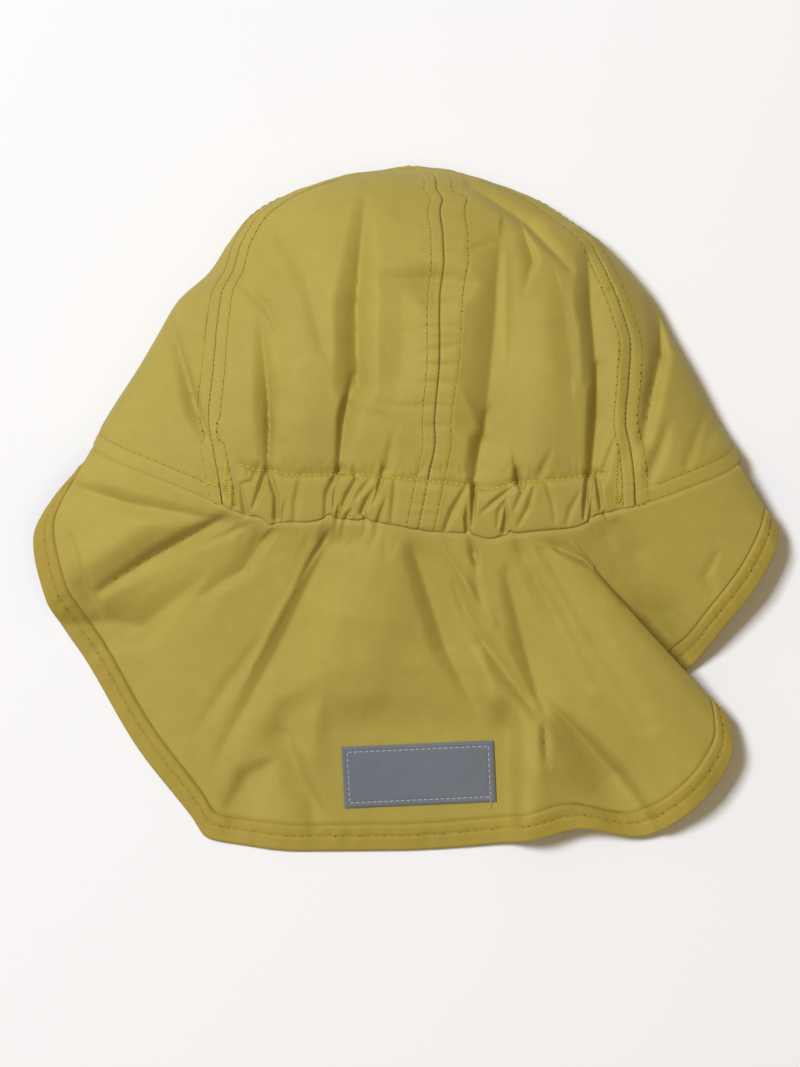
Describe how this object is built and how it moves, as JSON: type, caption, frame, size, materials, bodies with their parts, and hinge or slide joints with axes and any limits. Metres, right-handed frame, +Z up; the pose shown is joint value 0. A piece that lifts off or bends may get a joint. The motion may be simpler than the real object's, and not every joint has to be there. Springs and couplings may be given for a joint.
{
  "type": "child's sun hat with neck flap",
  "caption": "Child's soft sun hat with a panelled crown, gathered elastic at the back and a hemmed neck flap, lying on its front.",
  "frame": {"origin": "middle of the hat's outline, on the surface that it lies on", "axes": "+X across the hat, +Y from the flap's hem to the top of the crown, +Z up out of the back"},
  "size_m": [0.2858, 0.2616, 0.0468],
  "materials": {
    "yellow_cloth": "smooth, tightly woven coated cotton with a faint sheen",
    "grey_label": "matt grey woven label"
  },
  "bodies": {
    "root": {"crown_back_left": "yellow_cloth", "crown_back_right": "yellow_cloth", "crown_side_left": "yellow_cloth", "crown_side_right": "yellow_cloth", "crown_front_left": "yellow_cloth", "crown_front_right": "yellow_cloth", "elastic_casing": "yellow_cloth", "rim_band": "yellow_cloth", "neck_flap": "yellow_cloth", "flap_hem": "yellow_cloth", "peak": "yellow_cloth", "label_patch": "grey_label"}
  },
  "joints": []
}
